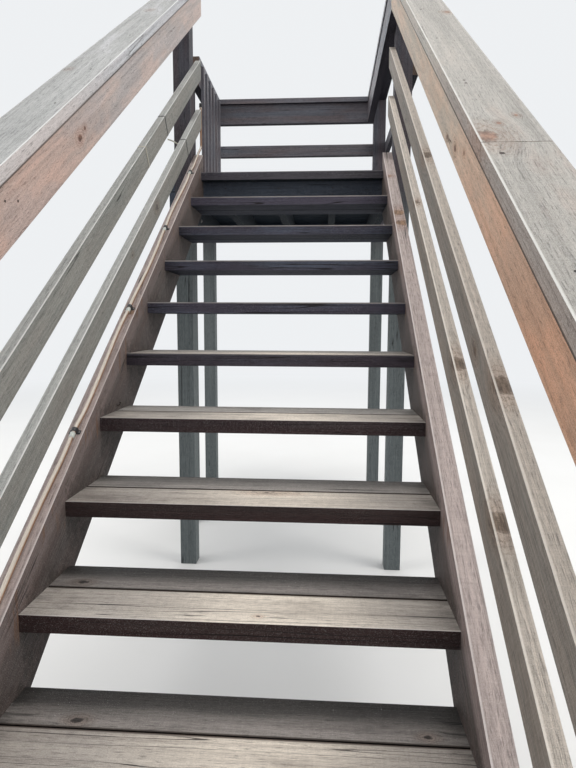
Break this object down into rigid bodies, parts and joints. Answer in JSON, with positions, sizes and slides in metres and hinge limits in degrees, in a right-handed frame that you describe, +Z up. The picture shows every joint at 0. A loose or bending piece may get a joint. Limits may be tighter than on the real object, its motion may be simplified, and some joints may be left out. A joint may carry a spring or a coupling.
{
  "type": "timber deck stair",
  "caption": "Straight outdoor timber stair with open risers, closed stringers, sloping rails and flat-capped handrails, rising to a railed landing",
  "frame": {"origin": "centre of the bounding box's bottom, on the ground", "axes": "+Y runs up the flight towards the landing, +X is to the right of a person who climbs, +Z is up"},
  "size_m": [1.455, 4.455, 3.287],
  "materials": {
    "dark_hardwood": "old oil stain, worn and dusty",
    "weathered_hardwood": "bare weathered hardwood",
    "grey_hardwood": "silvered hardwood with knots",
    "treated_pine": "treated pine, weathered",
    "clear_tube": "clear plastic tube",
    "black_plastic": "moulded black plastic",
    "plated_steel": "plated steel screws, bolts and nails, rusting"
  },
  "bodies": {
    "root": {"stringer_left": "dark_hardwood", "stringer_right": "dark_hardwood", "tread_01": "weathered_hardwood", "tread_02": "weathered_hardwood", "tread_03": "weathered_hardwood", "tread_04": "weathered_hardwood", "tread_05": "weathered_hardwood", "tread_06": "weathered_hardwood", "tread_07": "weathered_hardwood", "tread_08": "weathered_hardwood", "tread_09": "weathered_hardwood", "tread_10": "weathered_hardwood", "tread_11": "weathered_hardwood", "foot_newel_left": "dark_hardwood", "foot_newel_right": "dark_hardwood", "newel_left": "dark_hardwood", "newel_right": "dark_hardwood", "mid_rails_left": "grey_hardwood", "mid_rails_right": "grey_hardwood", "handrail_board_left": "dark_hardwood", "handrail_board_right": "dark_hardwood", "handrail_cap_left": "weathered_hardwood", "handrail_cap_right_lower": "weathered_hardwood", "handrail_cap_right_upper": "weathered_hardwood", "landing_floor": "weathered_hardwood", "front_rim": "dark_hardwood", "back_rim": "dark_hardwood", "side_rims": "dark_hardwood", "joists": "dark_hardwood", "back_post_right": "treated_pine", "back_post_left": "treated_pine", "way_out_post": "treated_pine", "landing_board_right": "dark_hardwood", "landing_board_back": "dark_hardwood", "landing_board_left": "dark_hardwood", "landing_cap_right": "dark_hardwood", "landing_cap_back": "dark_hardwood", "landing_cap_left": "dark_hardwood", "landing_mid_rails_right": "dark_hardwood", "landing_mid_rails_back": "dark_hardwood", "bottom_rail_left": "dark_hardwood", "pickets_left": "dark_hardwood", "rope_light": "clear_tube", "rope_light_ends": "black_plastic", "rope_light_clips": "black_plastic"}
  },
  "joints": []
}
